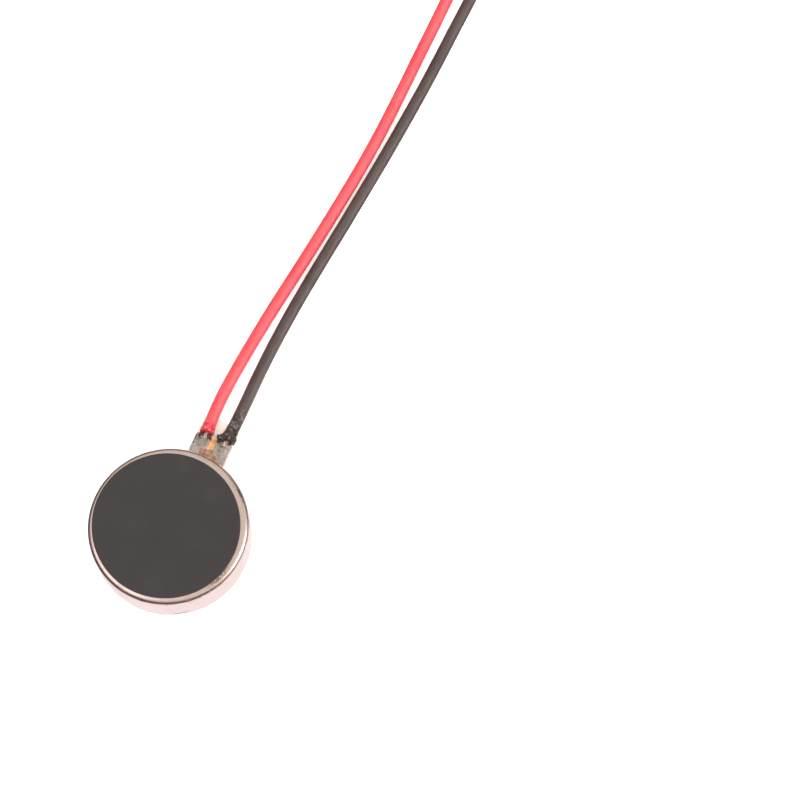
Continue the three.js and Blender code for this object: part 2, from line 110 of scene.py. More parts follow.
BLACK_ROUTE = [
    (0.00074, 0.00703, 0.00071), (0.00084, 0.0075, 0.00071), (0.00091, 0.0082, 0.000685),
    (0.00093, 0.0092, 0.00061), (0.00095, 0.0102, 0.00053), (0.00097, 0.0115, 0.000455),
    (0.00104, 0.0132, 0.000405), (0.00117, 0.015, 0.0004), (0.00136, 0.017, 0.0004),
    (0.0016, 0.019, 0.0004), (0.00186, 0.021, 0.0004), (0.00214, 0.023, 0.0004),
    (0.0024, 0.025, 0.0004), (0.00266, 0.027, 0.0004), (0.00291, 0.029, 0.0004),
    (0.00314, 0.031, 0.0004), (0.00335, 0.033, 0.0004), (0.00354, 0.035, 0.0004),
    (0.0037, 0.037, 0.0004), (0.00384, 0.039, 0.0004), (0.00399, 0.041, 0.0004),
    (0.00414, 0.043, 0.0004), (0.00429, 0.045, 0.0004), (0.00438, 0.047, 0.0004),
    (0.00441, 0.049, 0.0004), (0.0044, 0.051, 0.0004), (0.00438, 0.0519, 0.0004),
]


# Node tools


def add(tree, kind, inputs=None, **settings):
    """Adds a node. Inputs are values, or sockets to link from."""
    node = tree.nodes.new(kind)
    for key, value in settings.items():
        setattr(node, key, value)
    for key, value in (inputs or {}).items():
        if isinstance(value, bpy.types.NodeSocket):
            tree.links.new(value, node.inputs[key])
        else:
            node.inputs[key].default_value = value
    return node


def maths(tree, operation, a, b=0.0, clamp=False):
    return add(tree, "ShaderNodeMath", {0: a, 1: b}, operation=operation, use_clamp=clamp).outputs[0]


def times(tree, a, b):
    return maths(tree, "MULTIPLY", a, b)


def blended(tree, amount, a, b):
    """Colour a turning into colour b by an amount."""
    node = add(tree, "ShaderNodeMix", data_type="RGBA")
    for socket, value in ((node.inputs[0], amount), (node.inputs[6], a), (node.inputs[7], b)):
        if isinstance(value, bpy.types.NodeSocket):
            tree.links.new(value, socket)
        else:
            socket.default_value = value
    return node.outputs[2]


def span(tree, value, low, high, to_low=0.0, to_high=1.0):
    """A value's range from low to high stretched to another, clamped."""
    return add(tree, "ShaderNodeMapRange", {
        "Value": value, "From Min": low, "From Max": high, "To Min": to_low, "To Max": to_high,
    }, interpolation_type="SMOOTHSTEP").outputs[0]


def shade(red, green, blue):
    """A linear colour from the 0 to 255 values of a paint chart."""
    def linear(v):
        v /= 255
        return v / 12.92 if v <= 0.04045 else ((v + 0.055) / 1.055) ** 2.4
    return (linear(red), linear(green), linear(blue), 1.0)


def effect(name, inputs, outputs):
    """An empty shader node group with float, vector or colour sockets."""
    kinds = {"value": "NodeSocketFloat", "vector": "NodeSocketVector", "colour": "NodeSocketColor"}
    tree = bpy.data.node_groups.new(name, "ShaderNodeTree")
    for label, kind, start in inputs:
        socket = tree.interface.new_socket(label, in_out="INPUT", socket_type=kinds[kind])
        if start is not None:
            socket.default_value = start
    for label, kind in outputs:
        tree.interface.new_socket(label, in_out="OUTPUT", socket_type=kinds[kind])
    return tree, tree.nodes.new("NodeGroupInput"), tree.nodes.new("NodeGroupOutput")


def make_grain():
    """Fine mottling: a soft cloudy value around 0.5 with a finer one on it."""
    tree, given, made = effect(
        "grain", [("Place", "vector", None), ("Size", "value", 1.0), ("Contrast", "value", 1.0)],
        [("Value", "value")])
    scale = maths(tree, "DIVIDE", 1.0, given.outputs["Size"])
    soft = add(tree, "ShaderNodeTexNoise", {
        "Vector": given.outputs["Place"], "Scale": scale, "Detail": 4.0, "Roughness": 0.6}).outputs[0]
    centred = maths(tree, "SUBTRACT", soft, 0.5)
    strong = times(tree, centred, given.outputs["Contrast"])
    tree.links.new(maths(tree, "ADD", strong, 0.5, clamp=True), made.inputs["Value"])
    return tree


def make_scratches():
    """Hairline scratches that all run roughly one way, broken up along their length."""
    tree, given, made = effect(
        "scratches",
        [("Place", "vector", None), ("Spacing", "value", 0.5), ("Turn", "value", 0.0),
         ("Amount", "value", 0.5)],
        [("Mask", "value")])
    turned_place = add(tree, "ShaderNodeVectorRotate", {
        "Vector": given.outputs["Place"], "Angle": given.outputs["Turn"]}, rotation_type="Z_AXIS").outputs[0]
    drawn_out = add(
        tree, "ShaderNodeVectorMath", {0: turned_place, 1: (0.12, 1.0, 1.0)}, operation="MULTIPLY")
    scale = maths(tree, "DIVIDE", 1.0, given.outputs["Spacing"])
    lines = add(tree, "ShaderNodeTexVoronoi", {
        "Vector": drawn_out.outputs[0], "Scale": scale, "Randomness": 1.0,
    }, feature="DISTANCE_TO_EDGE").outputs[0]
    thin = span(tree, lines, 0.0, 0.035, 1.0, 0.0)
    gaps = add(tree, "ShaderNodeTexNoise", {
        "Vector": turned_place, "Scale": times(tree, scale, 1.7), "Detail": 2.0}).outputs[0]
    kept = span(tree, gaps, 0.5, 0.62)
    mask = times(tree, thin, kept)
    tree.links.new(times(tree, mask, given.outputs["Amount"]), made.inputs["Mask"])
    return tree


def make_specks():
    """Dust and tiny pits: small round spots, some left out."""
    tree, given, made = effect(
        "specks", [("Place", "vector", None), ("Spacing", "value", 0.4), ("Spot", "value", 0.15)],
        [("Mask", "value")])
    scale = maths(tree, "DIVIDE", 1.0, given.outputs["Spacing"])
    cells = add(tree, "ShaderNodeTexVoronoi", {"Vector": given.outputs["Place"], "Scale": scale})
    near = maths(tree, "LESS_THAN", cells.outputs["Distance"], given.outputs["Spot"])
    picked = add(tree, "ShaderNodeSeparateColor", {0: cells.outputs["Color"]}).outputs[0]
    some = maths(tree, "GREATER_THAN", picked, 0.6)
    tree.links.new(times(tree, near, some), made.inputs["Mask"])
    return tree


def make_stains():
    """Blotches with soft ragged edges: Cover is the share of the surface that they take."""
    tree, given, made = effect(
        "stains", [("Place", "vector", None), ("Size", "value", 1.0), ("Cover", "value", 0.3)],
        [("Mask", "value")])
    scale = maths(tree, "DIVIDE", 1.0, given.outputs["Size"])
    cloud = add(tree, "ShaderNodeTexNoise", {
        "Vector": given.outputs["Place"], "Scale": scale, "Detail": 5.0, "Roughness": 0.65}).outputs[0]
    edge = maths(tree, "SUBTRACT", 0.72, times(tree, given.outputs["Cover"], 0.45))
    mask = add(tree, "ShaderNodeMapRange", {
        "Value": cloud, "From Min": edge, "From Max": maths(tree, "ADD", edge, 0.1)}).outputs[0]
    tree.links.new(mask, made.inputs["Mask"])
    return tree


def make_round_place():
    """Distance from the shaft's axis and height, in millimetres, the angle round it in turns, and a place
    that changes fast with height and slowly round the wall, for draw lines."""
    tree, given, made = effect(
        "round_place", [("Place", "vector", None)],
        [("Radius", "value"), ("Height", "value"), ("Turn", "value"), ("Wrapped", "vector")])
    parts = add(tree, "ShaderNodeSeparateXYZ", {0: given.outputs["Place"]})
    x, y, z = parts.outputs
    squares = maths(tree, "ADD", times(tree, x, x), times(tree, y, y))
    radius = maths(tree, "SQRT", squares)
    turn = maths(tree, "DIVIDE", maths(tree, "ARCTAN2", y, x), math.tau)
    wrapped = add(tree, "ShaderNodeVectorMath", {
        0: given.outputs["Place"], 1: (0.15, 0.15, 6.0)}, operation="MULTIPLY")
    made_of = {"Radius": radius, "Height": z, "Turn": turn, "Wrapped": wrapped.outputs[0]}
    for label, socket in made_of.items():
        tree.links.new(socket, made.inputs[label])
    return tree


def make_ring_mark():
    """A soft line where a value is near a centre."""
    tree, given, made = effect(
        "ring_mark", [("Value", "value", 0.0), ("Centre", "value", 0.0), ("Width", "value", 0.1)],
        [("Mask", "value")])
    away = maths(tree, "ABSOLUTE", maths(tree, "SUBTRACT", given.outputs["Value"], given.outputs["Centre"]))
    share = maths(tree, "DIVIDE", away, given.outputs["Width"])
    tree.links.new(span(tree, share, 0.0, 1.0, 1.0, 0.0), made.inputs["Mask"])
    return tree


EFFECTS = {tree.name: tree for tree in (
    make_grain(), make_scratches(), make_specks(), make_stains(), make_round_place(), make_ring_mark())}


class Finish:
    """A material with a Principled shader and the shared effects at hand."""

    def __init__(self, name, **constants):
        self.material = bpy.data.materials.new(name)
        self.material.use_nodes = True
        self.tree = self.material.node_tree
        self.shader = self.tree.nodes["Principled BSDF"]
        for key, value in constants.items():
            self.shader.inputs[key.replace("_", " ")].default_value = value
        metres = add(self.tree, "ShaderNodeTexCoord").outputs["Object"]
        to_mm = add(self.tree, "ShaderNodeMapping", {"Vector": metres, "Scale": (1 / MM,) * 3})
        self.place = to_mm.outputs[0]

    def along_piece(self):
        """The straightened piece's own coordinates, in millimetres."""
        return add(self.tree, "ShaderNodeAttribute", attribute_name="flow").outputs["Vector"]

    def use(self, name, output=0, **inputs):
        group = add(self.tree, "ShaderNodeGroup", node_tree=EFFECTS[name])
        given = {"Place": self.place} if "Place" in group.inputs else {}
        given.update({key.capitalize(): value for key, value in inputs.items()})
        for key, value in given.items():
            if isinstance(value, bpy.types.NodeSocket):
                self.tree.links.new(value, group.inputs[key])
            else:
                group.inputs[key].default_value = value
        return group.outputs[output]

    def shifted(self, x, y, z, place=None):
        """The place moved, so that two patterns of one kind don't fall together."""
        given = {0: place or self.place, 1: (x, y, z)}
        return add(self.tree, "ShaderNodeVectorMath", given, operation="ADD").outputs[0]

    def set(self, socket, source):
        self.tree.links.new(source, self.shader.inputs[socket])

    def bump(self, height, depth_mm, under=None):
        """Relief of a height map, its depth in millimetres, on top of any other."""
        given = {"Height": height, "Distance": depth_mm * MM, "Strength": 1.0}
        if under is not None:
            given["Normal"] = under
        return add(self.tree, "ShaderNodeBump", given).outputs[0]

    def tooth(self, size, contrast, polish, relief, under=None, low=0.2, high=0.8):
        """A fine grain as relief, which also takes the roughness from one end of a range to the other."""
        fine = self.use("grain", size=size, contrast=contrast)
        self.set("Roughness", span(self.tree, fine, low, high, *polish))
        self.set("Normal", self.bump(fine, relief, under=under))


def metal(name, light, dark, roughness, rough_spread, grain_size, relief, wear=0.3):
    """A plain metal: mottled colour, uneven polish, hairline scratches and a fine grain."""
    f = Finish(name, Metallic=1.0)
    cloud = f.use("grain", size=grain_size, contrast=1.6)
    colour = blended(f.tree, cloud, dark, light)
    marks = f.use("scratches", spacing=grain_size * 0.9, turn=0.7, amount=wear)
    in_scratch = tuple(c * 0.55 for c in dark[:3]) + (1.0,)
    f.set("Base Color", blended(f.tree, marks, colour, in_scratch))
    polish = (roughness - rough_spread, roughness + rough_spread)
    f.tooth(grain_size * 0.12, 1.2, polish, relief, low=0.25, high=0.75)
    return f.material


def case_steel():
    """Satin nickel-plated steel: draw lines round the wall, painted shade as a dark line under the corner
    and a grey line along the foot, brown marks on the rim, golden specks beside the film at one place and a
    dull streak at another."""
    f = Finish("case_steel", Metallic=1.0)
    t = f.tree
    radius = f.use("round_place", 0)
    height = f.use("round_place", 1)
    turn = f.use("round_place", 2)
    wrapped = f.use("round_place", 3)
    cloud = f.use("grain", size=1.4, contrast=1.5)
    colour = blended(t, cloud, shade(228, 202, 201), shade(246, 220, 219))
    warm = f.use("grain", place=f.shifted(7, 3, 1), size=2.2, contrast=2.0)
    colour = blended(t, span(t, warm, 0.5, 0.8, 0.0, 0.5), colour, shade(232, 212, 194))
    # Painted shade: a dark brown line where the rounded corner meets the wall, broken up in patches.
    corner_shade_line = f.use("ring_mark", value=height, centre=CASE_TOP - CASE_CORNER + 0.12, width=0.09)
    patchy = f.use("grain", size=0.5, contrast=2.2)
    # line carries the painted shade under the corner.
    line = times(t, corner_shade_line, span(t, patchy, 0.2, 0.6, 0.1, 0.5))
    colour = blended(t, line, colour, shade(120, 92, 82))
    # Painted shade: a grey line along the foot of the wall.
    foot_shade_line = f.use("ring_mark", value=height, centre=CASE_FOOT + 0.03, width=0.12)
    foot = times(t, foot_shade_line, span(t, patchy, 0.3, 0.6, 0.3, 0.8))
    colour = blended(t, foot, colour, shade(128, 116, 116))
    near_corner = f.use("ring_mark", value=height, centre=CASE_TOP - 0.22, width=0.3)
    stain = times(t, near_corner, f.use("stains", size=0.45, cover=0.44))
    colour = blended(t, times(t, stain, 0.6), colour, shade(158, 124, 84))
    on_face = span(t, height, CASE_TOP - 0.2, CASE_TOP - 0.1)
    beside_film = f.use("ring_mark", value=radius, centre=4.62, width=0.3)
    at_specks = f.use("ring_mark", value=turn, centre=-0.07, width=0.045)
    specks = f.use("stains", place=f.shifted(1, 4, 2), size=0.16, cover=0.62)
    golden = times(t, times(t, beside_film, at_specks), specks)
    colour = blended(t, times(t, golden, on_face), colour, shade(126, 92, 58))
    dull_line = f.use("ring_mark", value=radius, centre=4.82, width=0.13)
    at_streak = f.use("ring_mark", value=turn, centre=0.135, width=0.05)
    broken = span(t, patchy, 0.35, 0.6, 0.4, 1.0)
    dull = times(t, times(t, dull_line, at_streak), broken)
    colour = blended(t, times(t, dull, on_face), colour, shade(112, 86, 72))
    scrapes = f.use("scratches", place=wrapped, spacing=0.6, turn=0.4, amount=0.25)
    colour = blended(t, scrapes, colour, shade(150, 140, 132))
    f.set("Base Color", colour)
    draw_lines = f.use("grain", place=wrapped, size=0.35, contrast=1.4)
    polish = maths(t, "ADD", times(t, draw_lines, 0.14), 0.19)
    f.set("Roughness", maths(t, "ADD", polish, times(t, stain, 0.25)))
    fine = f.use("grain", size=0.06, contrast=1.0)
    lines = f.bump(draw_lines, 0.004)
    f.set("Normal", f.bump(fine, 0.0012, under=lines))
    return f.material


def base_steel():
    """Stamped base: greyer, with brown heat tint close to each lug."""
    f = Finish("base_steel", Metallic=1.0)
    t = f.tree
    radius = f.use("round_place", 0)
    turn = f.use("round_place", 2)
    cloud = f.use("grain", size=0.8, contrast=1.8)
    colour = blended(t, cloud, shade(150, 140, 134), shade(212, 204, 196))
    sixth = maths(t, "FRACT", maths(t, "ADD", times(t, turn, 6.0), 0.5))
    by_lug = f.use("ring_mark", value=sixth, centre=0.5, width=0.26)
    outer = span(t, radius, 4.45, 4.75)
    mottle = f.use("grain", size=0.25, contrast=2.0)
    tint = times(t, times(t, by_lug, outer), mottle)
    inside = maths(t, "LESS_THAN", radius, 5.05)
    colour = blended(t, times(t, tint, inside), colour, shade(92, 46, 24))
    f.set("Base Color", colour)
    f.tooth(0.1, 1.4, (0.28, 0.46), 0.003, low=0.3, high=0.7)
    return f.material


def weld():
    """Heat-tinted bead: bronze and dark brown, rippled."""
    f = Finish("weld", Metallic=1.0)
    t = f.tree
    cloud = f.use("grain", size=0.22, contrast=2.4)
    colour = blended(t, cloud, shade(60, 30, 18), shade(196, 112, 64))
    grey = f.use("stains", size=0.3, cover=0.4)
    f.set("Base Color", blended(t, grey, colour, shade(150, 140, 132)))
    f.tooth(0.07, 1.6, (0.25, 0.6), 0.012)
    return f.material


def face_film():
    """Matt dark film: fine embossed grain, faint handling marks and a little pale dust."""
    f = Finish("face_film", IOR=1.4)
    t = f.tree
    cloud = f.use("grain", size=2.6, contrast=1.3)
    colour = blended(t, cloud, shade(38, 34, 39), shade(46, 41, 46))
    fine = f.use("grain", size=0.09, contrast=1.8)
    colour = blended(t, times(t, fine, 0.25), colour, shade(56, 52, 54))
    paler = f.use("stains", size=2.4, cover=0.3)
    colour = blended(t, times(t, paler, 0.2), colour, shade(56, 51, 54))
    dust = f.use("specks", spacing=0.42, spot=0.05)
    colour = blended(t, times(t, dust, 0.18), colour, shade(140, 134, 130))
    f.set("Base Color", colour)
    f.set("Roughness", span(t, fine, 0.2, 0.8, 0.5, 0.68))
    f.set("Normal", f.bump(fine, 0.003, under=f.bump(cloud, 0.02)))
    return f.material


def jacket(name, light, dark, deep, fold_shade, paler, roughness, glow, crumpled):
    """Extruded insulation: long faint draw streaks and scuffs along the lead, and folds where its first
    crumpled millimetres were heated, with painted shade in their hollows and painted highlights on their
    ridges."""
    f = Finish(name, Roughness=roughness, IOR=1.5, Subsurface_Weight=glow, Subsurface_Scale=0.00035)
    t = f.tree
    f.shader.inputs["Subsurface Radius"].default_value = (1.0, 0.35, 0.3)
    flow = f.along_piece()
    drawn = add(t, "ShaderNodeMapping", {"Vector": flow, "Scale": (1.0, 1.0, 0.12)}).outputs[0]
    streaks = f.use("grain", place=drawn, size=0.16, contrast=1.8)
    colour = blended(t, streaks, dark, light)
    slow = f.use("grain", place=flow, size=3.5, contrast=1.4)
    colour = blended(t, span(t, slow, 0.5, 0.8, 0.0, 0.35), colour, deep)
    scuffs = f.use("stains", place=f.shifted(0, 0, 11, drawn), size=0.5, cover=0.12)
    colour = blended(t, times(t, scuffs, 0.4), colour, light)
    reach = add(t, "ShaderNodeSeparateXYZ", {0: flow}).outputs[2]
    heated = span(t, reach, 0.3, crumpled, 1.0, 0.0)
    folds = f.use("grain", place=flow, size=0.22, contrast=2.6)
    # Painted shade in the hollows of the folds.
    colour = blended(t, times(t, span(t, folds, 0.5, 0.2), heated), colour, fold_shade)
    # Painted highlights on the ridges of the folds.
    colour = blended(t, times(t, span(t, folds, 0.62, 0.85), heated), colour, paler)
    f.set("Base Color", colour)
    fine = f.use("grain", place=flow, size=0.07, contrast=1.5)
    f.set("Roughness", span(t, fine, 0.2, 0.8, roughness - 0.08, roughness + 0.1))
    drawn_relief = f.bump(fine, 0.006, under=f.bump(streaks, 0.02))
    f.set("Normal", f.bump(times(t, folds, heated), 0.12, under=drawn_relief))
    return f.material


def tin(name, light, dark, flux, roughness):
    """Tinned or soldered metal: dull silver with grey oxide, pits and brown flux in the low places."""
    f = Finish(name, Metallic=1.0)
    t = f.tree
    cloud = f.use("grain", size=0.35, contrast=2.0)
    colour = blended(t, cloud, dark, light)
    brown = f.use("stains", place=f.shifted(3, 9, 2), size=0.45, cover=flux)
    colour = blended(t, times(t, brown, 0.75), colour, shade(96, 70, 58))
    pits = f.use("specks", spacing=0.09, spot=0.14)
    colour = blended(t, times(t, pits, 0.4), colour, shade(90, 78, 78))
    f.set("Base Color", colour)
    f.tooth(0.1, 1.6, (roughness - 0.1, roughness + 0.14), 0.008, under=f.bump(cloud, 0.012))
    return f.material


def polyimide():
    """Amber film over copper: honey in the middle, browner with flux close to the case, and a painted
    highlight in pale peach towards the tail's end.
    """
    f = Finish("polyimide", IOR=1.6, Coat_Weight=0.15, Coat_Roughness=0.3)
    t = f.tree
    parts = add(t, "ShaderNodeSeparateXYZ", {0: f.place})
    near_case = maths(t, "SUBTRACT", 1.0, span(t, parts.outputs[1], 5.3, 6.1))
    cloud = f.use("grain", size=0.3, contrast=2.2)
    colour = blended(t, cloud, shade(160, 112, 66), shade(208, 162, 112))
    # Painted highlight: pale peach towards the tail's end.
    tip = times(t, span(t, parts.outputs[1], 6.7, 6.95), 0.7)
    colour = blended(t, tip, colour, shade(240, 200, 170))
    brown = times(t, near_case, f.use("stains", size=0.5, cover=0.9))
    colour = blended(t, times(t, brown, 0.5), colour, shade(130, 86, 60))
    f.set("Base Color", colour)
    f.tooth(0.08, 1.4, (0.28, 0.5), 0.004, under=f.bump(cloud, 0.02))
    return f.material


def liner_paper():
    """Siliconed white paper: warm white, faint fibres, small creases drawn darker as painted shade, and a
    couple of grey specks.
    """
    f = Finish(
        "liner_paper", IOR=1.4, Coat_Weight=0.2, Coat_Roughness=0.35, Subsurface_Weight=0.15,
        Subsurface_Scale=0.0004)
    t = f.tree
    cloud = f.use("grain", size=1.8, contrast=1.5)
    colour = blended(t, cloud, shade(243, 236, 236), shade(251, 246, 247))
    creases = f.use("scratches", spacing=2.2, turn=0.9, amount=0.5)
    # Painted shade: the crease lines are drawn darker.
    colour = blended(t, times(t, creases, 0.4), colour, shade(222, 212, 206))
    specks = f.use("specks", spacing=2.4, spot=0.03)
    colour = blended(t, specks, colour, shade(70, 62, 60))
    f.set("Base Color", colour)
    fibre = f.use("grain", size=0.14, contrast=1.6)
    f.set("Roughness", span(t, fibre, 0.2, 0.8, 0.42, 0.6))
    f.set("Normal", f.bump(creases, 0.02, under=f.bump(fibre, 0.004)))
    return f.material


def moulded(name, light, dark, roughness, size=0.5, relief=0.006, **constants):
    """A moulded or cast non-metal: cloudy colour, fine tooth."""
    f = Finish(name, **constants)
    t = f.tree
    cloud = f.use("grain", size=size, contrast=1.7)
    colour = blended(t, cloud, dark, light)
    specks = f.use("specks", spacing=size * 0.8, spot=0.12)
    f.set("Base Color", blended(t, times(t, specks, 0.3), colour, dark))
    f.tooth(size * 0.15, 1.5, (roughness - 0.1, roughness + 0.1), relief)
    return f.material


MATERIALS = {
    "case_steel": case_steel(),
    "base_steel": base_steel(),
    "weld": weld(),
    "face_pad": face_film(),
    # In the jackets, the fold colours are painted shade in the fold hollows and painted highlights on the
    # fold ridges.
    "red_jacket": jacket(
        "red_jacket", shade(226, 78, 90), shade(206, 52, 68), shade(180, 36, 56),
        fold_shade=shade(130, 24, 44), paler=shade(240, 120, 130), roughness=0.42, glow=0.15, crumpled=0.8),
    "black_jacket": jacket(
        "black_jacket", shade(78, 65, 66), shade(54, 43, 45), shade(38, 28, 33),
        fold_shade=shade(14, 10, 12), paler=shade(122, 112, 116), roughness=0.36, glow=0.0, crumpled=2.8),
    "tin": tin("tin", shade(222, 206, 202), shade(178, 162, 160), flux=0.12, roughness=0.3),
    "solder": tin("solder", shade(210, 196, 192), shade(150, 136, 134), flux=0.2, roughness=0.32),
    "polyimide": polyimide(),
    "liner": liner_paper(),
    "shaft_steel": metal(
        "shaft_steel", shade(226, 226, 230), shade(190, 190, 196), 0.16, 0.06, 0.6, 0.001, wear=0.2),
    "magnet": metal("magnet", shade(150, 150, 154), shade(104, 104, 110), 0.34, 0.1, 0.5, 0.004),
    "brush": metal("brush", shade(232, 204, 140), shade(196, 156, 90), 0.24, 0.08, 0.3, 0.002),
    "copper": metal("copper", shade(226, 150, 104), shade(178, 100, 62), 0.28, 0.1, 0.3, 0.002),
    "coil": metal("coil", shade(206, 116, 62), shade(140, 66, 32), 0.36, 0.08, 0.25, 0.003),
    "tungsten": metal("tungsten", shade(138, 138, 142), shade(96, 96, 100), 0.42, 0.1, 0.3, 0.006),
    "bronze": metal("bronze", shade(196, 156, 92), shade(136, 100, 52), 0.46, 0.1, 0.2, 0.006),
    "washer": moulded("washer", shade(240, 236, 224), shade(220, 212, 194), 0.5, 0.5),
    "sealant": moulded("sealant", shade(176, 134, 114), shade(72, 42, 34), 0.36, 0.3, 0.01),
    "flux": moulded("flux", shade(98, 62, 56), shade(38, 22, 22), 0.4, 0.2, 0.01),
    "adhesive": moulded("adhesive", shade(238, 230, 212), shade(214, 202, 178), 0.6, 0.6),
    "board": moulded("board", shade(60, 120, 82), shade(32, 80, 52), 0.4, 0.7, Coat_Weight=0.25),
    "resin": moulded("resin", shade(52, 54, 60), shade(34, 35, 39), 0.5, 0.5),
}


# Mesh tools


def finished(name, bm, finish, nodes=(), body="housing", sharp=32):
    """Makes a finished piece of a bmesh in millimetres: in metres, smooth but for edges over the sharp
    angle, riding a body."""
    bmesh.ops.remove_doubles(bm, verts=bm.verts, dist=0.0004)
    bmesh.ops.recalc_face_normals(bm, faces=bm.faces)
    for face in bm.faces:
        face.smooth = True
    for edge in bm.edges:
        if len(edge.link_faces) == 2 and edge.calc_face_angle(0.0) > math.radians(sharp):
            edge.smooth = False
    bmesh.ops.scale(bm, vec=(MM, MM, MM), verts=bm.verts)
    mesh = bpy.data.meshes.new(name)
    bm.to_mesh(mesh)
    bm.free()
    mesh.materials.append(MATERIALS[finish])
    obj = bpy.data.objects.new(name, mesh)
    bpy.context.scene.collection.objects.link(obj)
    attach(obj, body)
    if nodes:
        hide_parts(*nodes)
    return obj


def chain(bm, points, closed=False):
    """Vertices joined by edges, in order."""
    verts = [bm.verts.new(p) for p in points]
    edges = [bm.edges.new(pair) for pair in zip(verts, verts[1:])]
    if closed:
        edges.append(bm.edges.new((verts[-1], verts[0])))
    return verts, edges


def arc(centre_x, centre_y, radius, start, end, steps):
    """Points of an arc, angles in degrees."""
    turns = [math.radians(start + (end - start) * i / steps) for i in range(steps + 1)]
    return [(centre_x + radius * math.cos(a), centre_y + radius * math.sin(a)) for a in turns]


def tab_outline(half, corner, reach, root, steps):
    """A tab with two rounded corners, from its root on the right round to its root on the left."""
    right = arc(half - corner, reach - corner, corner, 0, 90, steps)
    left = arc(corner - half, reach - corner, corner, 90, 180, steps)
    return [(half, root), *right, *left, (-half, root)]


def only_verts(geometry):
    return [g for g in geometry if isinstance(g, bmesh.types.BMVert)]


def sheet_with_hole(outline, height, hole):
    """A flat sheet at a height, from an outline in to a round hole."""
    bm = bmesh.new()
    edges = chain(bm, [(x, y, height) for x, y in outline], True)[1]
    for v in only_verts(bmesh.ops.extrude_edge_only(bm, edges=edges)["geom"]):
        v.co.xy = v.co.xy.normalized() * hole
    return bm


def thickened(bm, thickness):
    """Grows a flat sheet upwards to a plate."""
    top = only_verts(bmesh.ops.extrude_face_region(bm, geom=bm.faces[:])["geom"])
    bmesh.ops.translate(bm, vec=(0, 0, thickness), verts=top)
    bmesh.ops.recalc_face_normals(bm, faces=bm.faces)
    return bm


def turned(section, closed=False, steps=192):
    """Spins a section of (radius, height) points about the shaft's axis."""
    bm = bmesh.new()
    verts, edges = chain(bm, [(r, 0, z) for r, z in section], closed)
    bmesh.ops.spin(
        bm, geom=verts + edges, cent=(0, 0, 0), axis=(0, 0, 1), angle=math.tau, steps=steps, use_merge=True)
    bmesh.ops.remove_doubles(bm, verts=bm.verts, dist=0.0004)
    return bm


def ripple(point, size, seed):
    """Smooth noise from -1 to 1 at a point, its waves about one size across."""
    return noise.noise(Vector(point) / size + Vector((seed * 7.3, seed * 3.1, seed * 1.7)))


def smooth_route(route, per_span=8):
    """Points, in millimetres, of a smooth curve through a route given in metres."""
    points = [Vector(p) / MM for p in route]
    first, last = points[0] * 2 - points[1], points[-1] * 2 - points[-2]
    around = [first, *points, last]
    line = []
    for i in range(1, len(points)):
        before, a, b, after = around[i - 1], around[i], around[i + 1], around[i + 2]
        for step in range(per_span):
            t = step / per_span
            line.append(0.5 * (
                2 * a + (b - before) * t + (2 * before - 5 * a + 4 * b - after) * t ** 2
                + (3 * a - before - 3 * b + after) * t ** 3))
    line.append(points[-1])
    return line


def rod(line, sides, shape, dish=0.0):
    """Sweeps a circle along a line of points. shape takes the angle round the rod and the length along it,
    and gives the radius there and a push along the rod. Each vertex keeps its place on the straight rod as
    flow. dish sinks the middle of both ends."""
    bm = bmesh.new()
    flow = bm.verts.layers.float_vector.new("flow")
    behind = [line[0], *line[:-1]]
    ahead = [*line[1:], line[-1]]
    tangents = [(b - a).normalized() for a, b in zip(behind, ahead)]
    across = tangents[0].cross(Vector((0, 0, 1))).normalized()
    above = across.cross(tangents[0])
    stand = Matrix((across, above, -tangents[0])).transposed().to_4x4()
    ring = bmesh.ops.create_circle(
        bm, segments=sides, radius=1.0, matrix=Matrix.Translation(line[0]) @ stand)["verts"]
    edges = list({edge for v in ring for edge in v.link_edges})
    end_edges = [edges]
    along = 0.0
    places = []
    for i, (centre, tangent) in enumerate(zip(line, tangents)):
        if i:
            grown = bmesh.ops.extrude_edge_only(bm, edges=edges)["geom"]
            ring = only_verts(grown)
            edges = [g for g in grown if isinstance(g, bmesh.types.BMEdge)]
            turn = tangents[i - 1].rotation_difference(tangent).to_matrix()
            bmesh.ops.rotate(bm, cent=line[i - 1], matrix=turn, verts=ring)
            bmesh.ops.translate(bm, vec=centre - line[i - 1], verts=ring)
            across = turn @ across
            above = turn @ above
            along += (centre - line[i - 1]).length
        for v in ring:
            out = v.co - centre
            places.append((v, centre, tangent, math.atan2(out.dot(above), out.dot(across)), along))
    end_edges.append(edges)
    for v, centre, tangent, angle, reach in places:
        radius, push = shape(angle, reach)
        v[flow] = (radius * math.cos(angle), radius * math.sin(angle), reach)
        v.co = centre + (v.co - centre) * radius + tangent * push
    for end in end_edges:
        face = bmesh.ops.contextual_create(bm, geom=end)["faces"]
        if dish:
            bmesh.ops.inset_region(bm, faces=face, thickness=dish, depth=-dish * 0.5, use_even_offset=True)
    bmesh.ops.recalc_face_normals(bm, faces=bm.faces)
    return bm


def joined(parts):
    """Several bmeshes as one."""
    whole = bmesh.new()
    for part in parts:
        mesh = bpy.data.meshes.new("part")
        part.to_mesh(mesh)
        part.free()
        whole.from_mesh(mesh)
        bpy.data.meshes.remove(mesh)
    return whole


